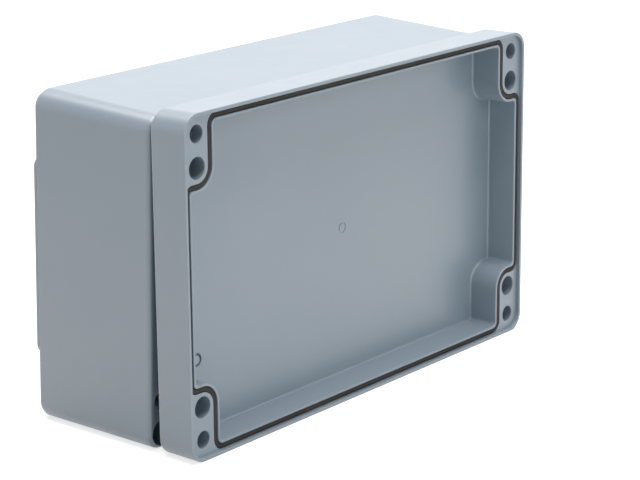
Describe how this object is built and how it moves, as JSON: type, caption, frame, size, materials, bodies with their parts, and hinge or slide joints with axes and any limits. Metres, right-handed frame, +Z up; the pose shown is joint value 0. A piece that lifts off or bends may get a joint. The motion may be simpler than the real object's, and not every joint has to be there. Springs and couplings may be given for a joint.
{
  "type": "aluminium enclosure",
  "caption": "Die-cast aluminium enclosure for electrical gear, standing open on its long side: a deep base, and a shallow lid with a sealing cord resting against it.",
  "frame": {"origin": "on the ground, under the middle of the box that holds base and lid", "axes": "+X along the enclosure's length, +Y out of the base's open side, away from the lid, +Z up"},
  "size_m": [0.2602, 0.1008, 0.16],
  "materials": {
    "painted_casting": "satin",
    "seal_rubber": "matte",
    "screw_steel": "satin",
    "terminal_brass": "satin"
  },
  "bodies": {
    "root": {"base_shell": "painted_casting", "lid_shell": "painted_casting", "lid_gasket": "seal_rubber", "lid_screw_lower_left": "screw_steel", "lid_screw_upper_left": "screw_steel", "lid_screw_lower_right": "screw_steel", "lid_screw_upper_right": "screw_steel", "earth_screw": "terminal_brass", "earth_washer": "terminal_brass"}
  },
  "joints": []
}
